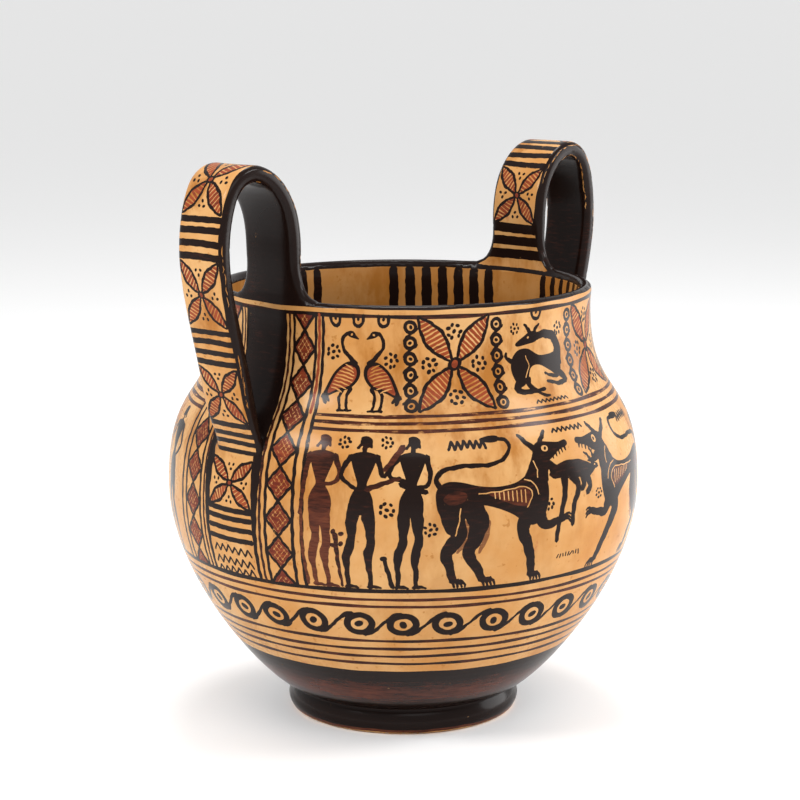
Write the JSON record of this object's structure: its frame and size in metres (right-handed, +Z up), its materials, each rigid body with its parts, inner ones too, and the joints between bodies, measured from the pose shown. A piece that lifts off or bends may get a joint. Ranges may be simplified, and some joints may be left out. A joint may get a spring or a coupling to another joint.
{
  "type": "greek krater",
  "caption": "Round-bellied footed vessel with a wide neck and two high strap handles, painted in dark slip and red on ochre clay, for holding and mixing liquids or for display.",
  "frame": {"origin": "centre of the foot ring's underside, on the surface it stands on", "axes": "+Z up the vessel's axis, +X through the handles, -Y to the painted side seen in the picture"},
  "size_m": [0.2418, 0.209, 0.2495],
  "materials": {
    "painted_clay": "ochre fired clay with glossy dark slip and brick-red brush painting, lightly worn"
  },
  "bodies": {
    "root": {"krater": "painted_clay"}
  },
  "joints": []
}
